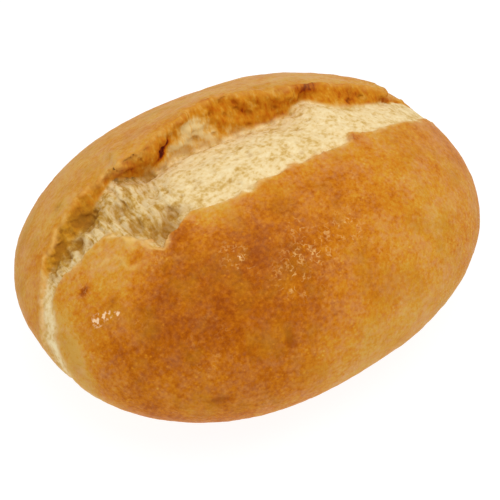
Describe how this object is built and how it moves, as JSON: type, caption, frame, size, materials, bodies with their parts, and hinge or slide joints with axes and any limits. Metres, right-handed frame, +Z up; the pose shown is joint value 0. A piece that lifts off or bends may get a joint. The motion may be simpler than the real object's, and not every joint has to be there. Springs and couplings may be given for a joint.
{
  "type": "bread roll",
  "caption": "Oval split-top bread roll with a golden crust, a burst split of pale crumb along the top and a torn, raised crust lip behind it.",
  "frame": {"origin": "on the flat base, below the middle of the roll", "axes": "+X along the roll, the way the split runs; +Y from the full front crust to the raised lip; +Z up"},
  "size_m": [0.11, 0.0848, 0.0525],
  "materials": {
    "crust": "baked golden crust, satin, with a pale matt crumb in the split"
  },
  "bodies": {
    "root": {"bread_roll": "crust"}
  },
  "joints": []
}
